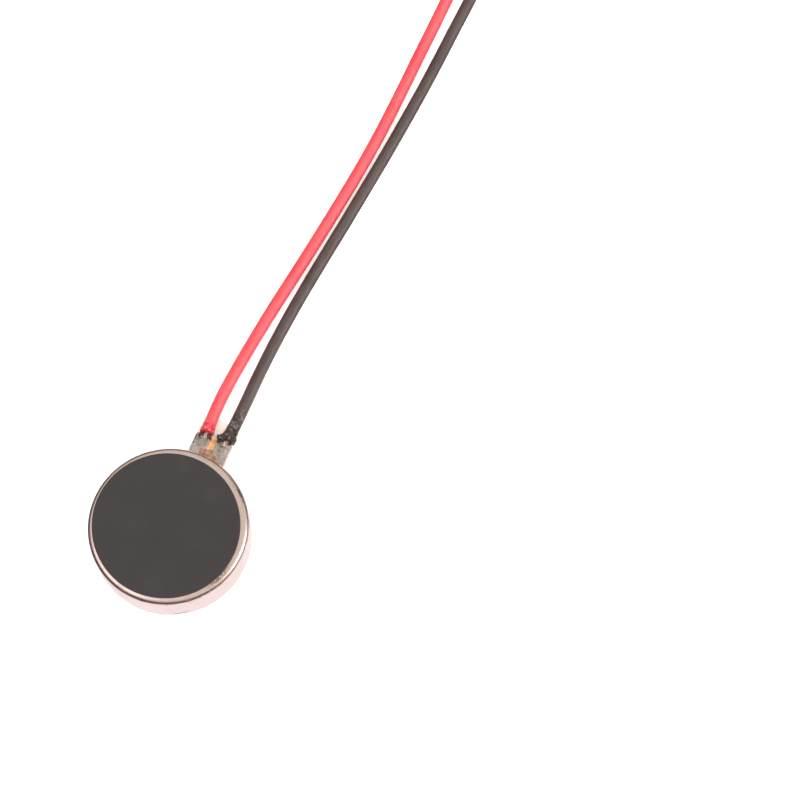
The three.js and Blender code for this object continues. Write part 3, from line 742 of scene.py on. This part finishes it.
def mound(centre, half, lumps, seed, square=0.75, fineness=4, upwards=True):
    """A lump that sits on a flat: its half sizes, how uneven it is, and how square (1 is round)."""
    foot = -0.015
    bm = bmesh.new()
    bmesh.ops.create_icosphere(bm, subdivisions=fineness, radius=1.0)
    for v in bm.verts:
        mirrored = Vector((v.co.x, v.co.y, abs(v.co.z)))
        bulge = 1 + lumps * ripple(mirrored, 0.7, seed) + lumps * 0.5 * ripple(mirrored, 0.25, seed + 3)
        wide = 1 + 0.4 * (bulge - 1)
        x, y, z = (math.copysign(abs(c) ** square, c) for c in v.co)
        rise = z * max(bulge, 0.3) * half[2] if z > 0 else foot
        v.co = (x * wide * half[0], y * wide * half[1], rise)
    if not upwards:
        bmesh.ops.scale(bm, vec=(1, 1, -1), verts=bm.verts)
    bmesh.ops.translate(bm, vec=centre, verts=bm.verts)
    bmesh.ops.recalc_face_normals(bm, faces=bm.faces)
    return bm


def turned_place(bm, degrees):
    turn = Matrix.Rotation(math.radians(degrees), 3, "Z")
    bmesh.ops.rotate(bm, cent=(0, 0, 0), matrix=turn, verts=bm.verts)
    return bm


# Camera

camera = bpy.data.objects.new("camera", bpy.data.cameras.new("camera"))
camera.data.sensor_width = 36
camera.data.lens = 103.86
camera.data.clip_start = 0.01
camera.location = (0.02656, -0.02853, 0.1413)
camera.rotation_euler = (math.radians(17.81), 0, math.radians(21.4))
bpy.context.scene.collection.objects.link(camera)
bpy.context.scene.camera = camera


# Leads: soft jackets, drawn streaks along them, crumpled where the iron was close


def wrinkled(heated, depth, seed, ragged, flare):
    """Shape of a jacket: even for most of its length, puckered, flared and ragged at its soldered end."""
    torn_length = 0.25

    def shape(angle, along):
        around = Vector((math.cos(angle), math.sin(angle), along * 1.1))
        heat = max(0.0, 1.0 - along / heated)
        even = 1 + 0.012 * ripple(around, 0.9, seed)
        pucker = depth * heat * (ripple(around, 0.35, seed + 1) + 0.5 * ripple(around, 0.16, seed + 2))
        torn = max(0.0, 1.0 - along / torn_length)
        push = ragged * torn * ripple(around, 0.45, seed + 5)
        return LEAD_RADIUS * (even + pucker + flare * heat ** 2), push
    return shape


def strands(start, end, twist, wires=6, orbit=0.112, thickness=0.06, fray=0.0):
    """A twisted bundle: one wire in the middle and the others round it."""
    axis = end - start
    along = axis.normalized()
    across = along.cross(Vector((0, 0, 1))).normalized()
    above = across.cross(along)
    steps = max(6, int(axis.length / 0.12))
    parts = []
    for wire in range(wires + 1):
        line = []
        for i in range(steps + 1):
            share = i / steps
            turn = math.tau * (wire / wires + twist * share * axis.length)
            out = 0.0 if wire == wires else orbit * (1 + fray * share * (0.5 + 0.5 * math.sin(wire * 2.4)))
            line.append(start + axis * share + (across * math.cos(turn) + above * math.sin(turn)) * out)
        parts.append(rod(line, 8, lambda angle, reach: (thickness, 0.0)))
    return joined(parts)


def lead_with_tip(colour, route, shape):
    """A jacket along its route and the tinned tip at its far end."""
    line = smooth_route(route)
    jacket_obj = finished(
        f"{colour}_lead_jacket", rod(line, 28, shape, dish=0.05), f"{colour}_jacket", [f"{colour}_lead"],
        sharp=50)
    run = (line[-1] - line[-2]).normalized()
    tip = finished(
        f"{colour}_lead_tinned_tip",
        strands(line[-1] - run * TIP_HIDDEN, line[-1] + run * TIP_LENGTH, 0.45, fray=0.25),
        "tin", [f"{colour}_lead_tip"])


lead_with_tip(
    "red", RED_ROUTE, wrinkled(heated=0.9, depth=0.07, seed=4, ragged=0.14, flare=0.16))
lead_with_tip(
    "black", BLACK_ROUTE, wrinkled(heated=2.0, depth=0.1, seed=9, ragged=0.1, flare=0.05))


# Case


def case_section():
    """The cup's section, from the middle of its face out and round to the middle of its ceiling."""
    corner_r = CASE_RADIUS - CASE_CORNER
    corner_z = CASE_TOP - CASE_CORNER
    inner = CASE_RADIUS - CASE_WALL
    ceiling = CASE_TOP - CASE_WALL
    face = [(r, CASE_TOP) for r in (0, 1.2, 2.4, 3.4, 4.1, 4.5)]
    wall = [(CASE_RADIUS, z) for z in (2.5, 2.0, 1.5, 1.1, 0.8, SLOT_TOP, NOTCH_TOP, CASE_FOOT + 0.05)]
    foot = [
        (CASE_RADIUS - 0.02, CASE_FOOT + 0.01), (CASE_RADIUS - 0.04, CASE_FOOT), (inner + 0.03, CASE_FOOT)]
    bore = [(inner, z) for z in (CASE_FOOT + 0.03, NOTCH_TOP, SLOT_TOP, 1.5, 2.5)]
    inside = arc(inner - 0.2, ceiling - 0.2, 0.2, 0, 90, 5)
    return (face + arc(corner_r, corner_z, CASE_CORNER, 90, 0, 14) + wall + foot + bore + inside
            + [(0.42, ceiling), (0.41, ceiling + 0.1), (0, ceiling + 0.1)])


def off_lug(angle):
    """Degrees from an angle to the nearest lug's middle."""
    return min(abs((angle - lug + 180) % 360 - 180) for lug in LUG_ANGLES)


def case():
    """The turned cup with the tab's slot and the lugs' notches cut out of its foot and closed again."""
    bm = turned(case_section(), steps=720)

    def gone(face):
        middle = face.calc_center_median()
        if math.hypot(middle.x, middle.y) < CASE_RADIUS - CASE_WALL - 0.1:
            return False
        angle = math.degrees(math.atan2(middle.y, middle.x)) % 360
        if abs(angle - 90) < SLOT_HALF_ANGLE:
            return middle.z < SLOT_TOP
        return off_lug(angle) < NOTCH_HALF_ANGLE and middle.z < NOTCH_TOP

    bmesh.ops.delete(bm, geom=[f for f in bm.faces if gone(f)], context="FACES")

    def across_foot(edge):
        """The cut ends of the foot, which run from the bore out to the wall."""
        a, b = (math.hypot(*v.co.xy) for v in edge.verts)
        return min(v.co.z for v in edge.verts) < CASE_FOOT + 0.02 and abs(a - b) > 0.015

    sides = [e for e in bm.edges if e.is_boundary and not across_foot(e)]
    bmesh.ops.bridge_loops(bm, edges=sides)
    bmesh.ops.holes_fill(bm, edges=[e for e in bm.edges if e.is_boundary])
    return bm


finished("case", case(), "case_steel", ["case_cup"], sharp=38)


# Film on the face


def film():
    """A disc with a soft edge, its top slightly wavy and its outline slightly out of round."""
    radius = (FILM_HIGH.x - FILM_LOW.x) / 2
    low, high = FILM_LOW.z, FILM_HIGH.z
    rings = [(r, high) for r in (0, 0.6, 1.2, 1.8, 2.4, 3.0, 3.5, 4.0, 4.3, radius - 0.1)]
    edge = arc(radius - 0.05, high - 0.05, 0.05, 80, 0, 5)
    bm = turned([*rings, *edge, (radius, low), (0, low)], steps=160)
    for v in bm.verts:
        if v.co.z > low + 0.02:
            v.co.z -= 0.006 * (1 + ripple(v.co, 1.6, 2))
        angle = math.atan2(v.co.y, v.co.x)
        out_of_round = 0.007 * math.cos(2 * (angle - 2.6)) + 0.004 * math.cos(angle - 2.2)
        v.co.xy *= 1 + out_of_round + 0.002 * ripple((v.co.x, v.co.y, 0), 2.5, 6)
    middle = (FILM_LOW + FILM_HIGH) / 2
    bmesh.ops.translate(bm, vec=(middle.x, middle.y, 0), verts=bm.verts)
    return bm


finished("face_film", film(), "face_pad", ["face_pad"], sharp=45)


# Base, its tab and lugs


def base_outline():
    """Once round the base: the disc's edge, with a lug every sixth of a turn and the tab."""
    disc = CASE_RADIUS - CASE_WALL - BASE_GAP
    lug = CASE_RADIUS - BASE_GAP
    points = []
    for step in range(720):
        angle = step / 2
        radius = lug if off_lug(angle) <= LUG_HALF_ANGLE else disc
        if abs(angle - 90) >= TAB_SIDE_ANGLE:
            points.append((radius * math.cos(math.radians(angle)), radius * math.sin(math.radians(angle))))
    split = next(i for i, (x, y) in enumerate(points) if x < 0)
    tab = tab_outline(TAB_HALF, TAB_CORNER, BASE_HIGH.y, 4.6, 8)
    return points[:split] + tab + points[split:]


def base():
    """The stamped base, its flat faces' edges eased."""
    bm = thickened(sheet_with_hole(base_outline(), BASE_LOW.z, BASE_HOLE), BASE_HIGH.z - BASE_LOW.z)
    rims = [e for e in bm.edges if len(e.link_faces) == 2 and abs(e.verts[0].co.z - e.verts[1].co.z) < 1e-5
            and e.calc_face_angle(0) > 1.2]
    bmesh.ops.bevel(
        bm, geom=rims, offset=BASE_EDGE, offset_type="OFFSET", segments=2, profile=0.5, affect="EDGES",
        material=-1)
    return bm


finished("base", base(), "base_steel", ["base_plate"], sharp=40)

for i, angle in enumerate(LUG_ANGLES):
    half_length = 0.5 + 0.1 * math.sin(i * 2.1)
    bead = mound(
        (CASE_RADIUS - 0.22, 0, CASE_FOOT + 0.004), (0.15, half_length, 0.065), 0.45, 20 + i, upwards=False)
    spots = [
        mound((CASE_RADIUS - 0.24, 0.35 * side, CASE_FOOT + 0.02), (0.1, 0.12, 0.075), 0.5, 40 + i + side,
              fineness=3, upwards=False)
        for side in (-1, 1)]
    finished(
        f"weld_bead_{i + 1}", turned_place(joined([bead, *spots]), angle), "weld", [f"rim_weld_{i + 1}"],
        sharp=70)


# Soldering tab


def tail():
    """The flexible circuit: a ring on the base, and its tail on the tab with softly rounded corners."""
    ring = arc(0, 0, FLEX_RADIUS, 107, 431, 108)
    tab = tab_outline(TAB_HALF - FLEX_SETBACK, TAB_CORNER - FLEX_SETBACK, FLEX_HIGH.y, 4.45, 6)
    return thickened(sheet_with_hole(ring + tab, FLEX_LOW.z, FLEX_HOLE), FLEX_HIGH.z - FLEX_LOW.z)


finished("flexible_circuit", tail(), "polyimide", ["flex_circuit"], sharp=40)


def tinned_pad(name, node, seed, left, right):
    """Old solder spread thin over a pad. left and right are where its sides came to rest."""
    low, high = box_mm(node)
    run_back = 0.06
    middle = ((left + right) / 2, (low.y + high.y) / 2 - run_back, PAD_Z)
    half = ((right - left) / 2, (high.y - low.y) / 2 + run_back, 0.075)
    finished(name, mound(middle, half, 0.3, seed, square=0.3, fineness=5), "tin", [node], sharp=70)


tinned_pad("tinned_pad_red", "pad_red", 3, -1.21, -0.2)
tinned_pad("tinned_pad_black", "pad_black", 11, 0.26, 1.21)


def joint(colour, seed, lumps):
    """The solder that holds the strands: a low uneven heap and a few smaller lumps beside it, each given as
    its place on the pad and its half sizes."""
    low, high = box_mm(f"{colour}_solder_joint")
    middle = (low + high) / 2
    half = (high - low) / 2
    parts = [mound(
        (middle.x, middle.y + 0.02, PAD_Z + 0.03), (half.x + 0.04, half.y, 0.11), 0.4, seed, square=0.85,
        fineness=5)]
    for number, (x, y, *lump_half) in enumerate(lumps):
        parts.append(mound((x, y, PAD_Z + 0.02), lump_half, 0.5, seed + 1 + number))
    finished(f"solder_{colour}", joined(parts), "solder", [f"{colour}_solder_joint"], sharp=70)


joint("red", 5, [
    (-0.66, 6.68, 0.24, 0.24, 0.2), (-0.95, 6.3, 0.16, 0.3, 0.08), (-0.45, 6.05, 0.14, 0.26, 0.08),
])
joint("black", 15, [
    (0.74, 6.7, 0.26, 0.24, 0.22), (0.89, 6.95, 0.2, 0.15, 0.3), (0.5, 6.5, 0.16, 0.24, 0.1),
    (1.02, 6.62, 0.12, 0.2, 0.12),
])

for colour in ("red", "black"):
    low, high = box_mm(f"{colour}_strands")
    x, z = (low.x + high.x) / 2, (low.z + high.z) / 2
    bared = strands(Vector((x, 6.55, z - 0.12)), Vector((x, high.y + TIP_HIDDEN, z)), 0.45)
    finished(f"{colour}_bared_strands", bared, "tin", [f"{colour}_strands"])


def burnt_flux():
    """Dark resin where the strands leave their jackets, and two drops along the red pad's outer side."""
    parts = [mound(place, half, 0.5, 60 + i) for i, (place, half) in enumerate([
        ((-0.62, 6.76, PAD_Z + 0.02), (0.44, 0.19, 0.15)),
        ((-0.86, 6.8, PAD_Z + 0.02), (0.17, 0.15, 0.23)),
        ((-0.4, 6.86, PAD_Z + 0.02), (0.19, 0.15, 0.25)),
        ((0.38, 6.78, PAD_Z + 0.02), (0.2, 0.12, 0.14)),
        ((1.12, 6.93, PAD_Z + 0.12), (0.08, 0.07, 0.18)),
        ((-1.16, 6.6, PAD_Z + 0.03), (0.04, 0.2, 0.06)),
        ((-1.17, 6.16, PAD_Z + 0.03), (0.035, 0.1, 0.05)),
    ])]
    return joined(parts)


finished("burnt_flux", burnt_flux(), "flux", sharp=70)


def sealing_dab():
    """Sealant in the case's slot, and a thin brown run of it out on to the tab."""
    parts = [
        mound((0.0, 5.02, PAD_Z), (1.15, 0.34, 0.15), 0.3, 31, square=0.8, fineness=5),
        mound((-0.06, 5.45, PAD_Z + 0.03), (0.78, 0.66, 0.09), 0.9, 33, square=0.9, fineness=5),
        mound((0.5, 5.35, PAD_Z + 0.03), (0.5, 0.46, 0.08), 0.9, 36, square=0.9, fineness=5),
    ]
    return joined(parts)


finished("slot_dab", sealing_dab(), "sealant", ["slot_sealant"], sharp=70)


def flap(points, thickness, seed, lumps=0.3):
    """A shrivelled tongue of insulation, thinner to its end."""
    line = smooth_route([Vector(point) * MM for point in points], per_span=6)
    total = sum((b - a).length for a, b in zip(line, line[1:]))

    def shape(angle, along):
        around = Vector((math.cos(angle) * 0.5, math.sin(angle) * 0.5, along))
        taper = 1 - 0.35 * along / total
        uneven = 1 + lumps * ripple(around, 0.3, seed) + 0.3 * ripple(around, 0.12, seed + 2)
        return thickness * taper * uneven, 0.0
    return rod(line, 20, shape, dish=0.04)


finished("black_jacket_end", joined([
    flap([(0.86, 7.6, 0.74), (0.66, 7.26, 0.8), (0.44, 7.05, 0.82), (0.2, 6.97, 0.72)], 0.25, 71),
    flap([(0.84, 7.4, 0.86), (0.6, 7.1, 0.9), (0.5, 6.86, 0.76)], 0.2, 73),
    flap([(1.06, 7.7, 0.68), (1.16, 7.35, 0.76), (1.22, 7.1, 0.76), (1.2, 6.86, 0.64)], 0.21, 75),
    flap([(1.0, 7.45, 0.86), (1.04, 7.2, 0.94), (1.12, 7.0, 0.8)], 0.15, 77),
]), "black_jacket", sharp=60)
finished("red_jacket_end", joined([
    flap([(-0.84, 7.3, 0.72), (-0.94, 7.08, 0.76), (-0.92, 6.92, 0.68)], 0.16, 81),
    flap([(-0.38, 7.35, 0.72), (-0.26, 7.15, 0.76), (-0.2, 7.02, 0.66)], 0.14, 83),
    flap([(-0.6, 7.3, 0.92), (-0.62, 7.06, 0.98), (-0.68, 6.93, 0.9)], 0.13, 85),
]), "red_jacket", sharp=60)


# Adhesive and liner


def liner():
    """Keyhole-shaped paper, cut into small squares so that its free tab can lift and wave a little."""
    disc = arc(0, 0, LINER_RADIUS, 112, 418, 153)
    tab = [
        Vector(point) for point in tab_outline(LINER_TAB_HALF, LINER_TAB_CORNER, LINER_TAB_REACH, 4.2, 8)]
    turn = Matrix.Rotation(math.radians(LINER_TAB_TURN), 2)
    bm = bmesh.new()
    edges = chain(bm, [(x, y, 0.0) for x, y in disc + [turn @ point for point in tab]], True)[1]
    bmesh.ops.contextual_create(bm, geom=edges)
    for i in range(-9, 17):
        for direction in ((1, 0, 0), (0, 1, 0)):
            bmesh.ops.bisect_plane(
                bm, geom=bm.verts[:] + bm.edges[:] + bm.faces[:], dist=1e-5,
                plane_co=Vector(direction) * i * 0.51, plane_no=direction)
    bmesh.ops.triangulate(bm, faces=[f for f in bm.faces if len(f.verts) > 4])
    thickened(bm, LINER_THICKNESS)
    for v in bm.verts:
        free = max(0.0, v.co.y - CASE_RADIUS)
        v.co.z += 0.02 * free * (1 + ripple((v.co.x, v.co.y, 0), 1.6, 8))
    return bm


finished("backing_liner", liner(), "liner", ["release_liner"], sharp=50)


# Rotor, inside the case


def winding(node):
    """A coil of fine wire: rows of turns on a flat ring."""
    low, high = box_mm(node)
    middle = (low + high) / 2
    outer = (high.x - low.x) / 2
    wire = COIL_WIRE
    rows = int((outer - COIL_HOLE) / (2 * wire))
    tiers = int((high.z - low.z) / (2 * wire))
    top = [(COIL_HOLE + wire * (2 * i + 1 + math.cos(a) * 0.98), high.z - wire + wire * math.sin(a))
           for i in range(rows) for a in (math.radians(d) for d in (150, 90, 30))]
    right = [(outer - wire + wire * math.cos(a), high.z - wire * (2 * i + 1) - wire * math.sin(a) * 0.98)
             for i in range(tiers) for a in (math.radians(d) for d in (-60, 0, 60))]
    section = top + right + [(outer - 0.05, low.z), (COIL_HOLE + 0.05, low.z), (COIL_HOLE, low.z + 0.05)]
    bm = turned(section, closed=True, steps=72)
    bmesh.ops.translate(bm, vec=(middle.x, middle.y, 0), verts=bm.verts)
    return bm


for i in (1, 2):
    finished(f"wound_coil_{i}", winding(f"coil_{i}"), "coil", [f"coil_{i}"], body="rotor", sharp=50)


# CAD pieces that keep their shape take the finish of their slot

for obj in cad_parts.values():
    for place in obj.material_slots:
        place.material = MATERIALS.get(place.material.name.split(".")[0], place.material)


# Table and light


def table():
    """A pale mottled table. Polished surfaces see only a lit patch of it, beyond which it is dark."""
    bm = bmesh.new()
    bmesh.ops.create_grid(bm, x_segments=1, y_segments=1, size=1.5)
    bmesh.ops.translate(bm, vec=(0, 0, -0.00002), verts=bm.verts)
    mesh = bpy.data.meshes.new("table")
    bm.to_mesh(mesh)
    bm.free()
    obj = bpy.data.objects.new("table", mesh)
    bpy.context.scene.collection.objects.link(obj)
    f = Finish("table", Roughness=0.9)
    t = f.tree
    glossy = add(t, "ShaderNodeLightPath").outputs["Is Glossy Ray"]
    patch = add(t, "ShaderNodeMapping", {
        "Vector": f.place, "Location": (1.4, 3.2, 0), "Rotation": (0, 0, camera.rotation_euler.z),
        "Scale": (8.6, 11, 1),
    }, vector_type="TEXTURE").outputs[0]
    away = add(t, "ShaderNodeVectorMath", {0: patch}, operation="LENGTH").outputs["Value"]
    lit = span(t, away, 0.88, 1.32, 1.08, 0.08)
    mottle = f.use("grain", size=9.0, contrast=0.6)
    pale = blended(t, mottle, shade(234, 234, 234), shade(240, 240, 240))
    f.set("Base Color", blended(t, glossy, pale, (0, 0, 0, 1)))
    f.shader.inputs["Specular IOR Level"].default_value = 0.0
    f.shader.inputs["Emission Color"].default_value = (1, 0.99, 0.985, 1)
    f.set("Emission Strength", blended(t, glossy, (0.42, 0.42, 0.42, 1), lit))
    mesh.materials.append(f.material)


table()


def sky():
    """A white tent: dim straight above and dark close to the table, with a bright panel high at the left and
    a wide one at the right. Matt surfaces get more light from it than polished ones show."""
    world = bpy.data.worlds.new("tent")
    world.use_nodes = True
    bpy.context.scene.world = world
    t = world.node_tree
    background = t.nodes["Background"]
    direction = add(t, "ShaderNodeTexCoord").outputs["Generated"]
    turn = camera.rotation_euler.z
    right = (math.cos(turn), math.sin(turn), 0.0)
    away = (-math.sin(turn), math.cos(turn), 0.0)

    def towards(x, y, z):
        aim = (Vector(right) * x + Vector(away) * y + Vector((0, 0, z))).normalized()
        facing = add(t, "ShaderNodeVectorMath", {0: direction, 1: aim}, operation="DOT_PRODUCT")
        return facing.outputs["Value"]

    height = towards(0, 0, 1)
    colour = blended(t, span(t, height, 0.2, 0.55), (0.1, 0.07, 0.06, 1), (0.63, 0.64, 0.56, 1))
    left_panel = span(t, towards(-0.57, -0.25, 0.78), 0.84, 0.95)
    colour = blended(t, left_panel, colour, (1.35, 1.33, 1.25, 1))
    right_panel = span(t, towards(0.88, -0.22, 0.42), 0.8, 0.96)
    above_table = span(t, height, 0.0, 0.1)
    colour = blended(t, times(t, right_panel, above_table), colour, (1.12, 1.03, 0.9, 1))
    rays = add(t, "ShaderNodeLightPath").outputs
    colour = blended(t, rays["Is Camera Ray"], colour, (1, 1, 1, 1))
    t.links.new(colour, background.inputs["Color"])
    side = span(t, towards(1, 0, 0.3), -0.8, 0.9, 0.8, 4.2)
    t.links.new(blended(t, rays["Is Glossy Ray"], side, (1, 1, 1, 1)), background.inputs["Strength"])


sky()


def softbox(name, place, aim, size, power):
    light = bpy.data.lights.new(name, "AREA")
    light.shape = "DISK"
    light.size = size
    light.energy = power
    obj = bpy.data.objects.new(name, light)
    obj.location = place
    obj.rotation_euler = (Vector(aim) - Vector(place)).to_track_quat("-Z", "Y").to_euler()
    bpy.context.scene.collection.objects.link(obj)


softbox("key", (0.42, 0.1, 0.2), (0, 0.01, 0), 0.3, 0.4)

bpy.context.scene.view_settings.view_transform = "Standard"
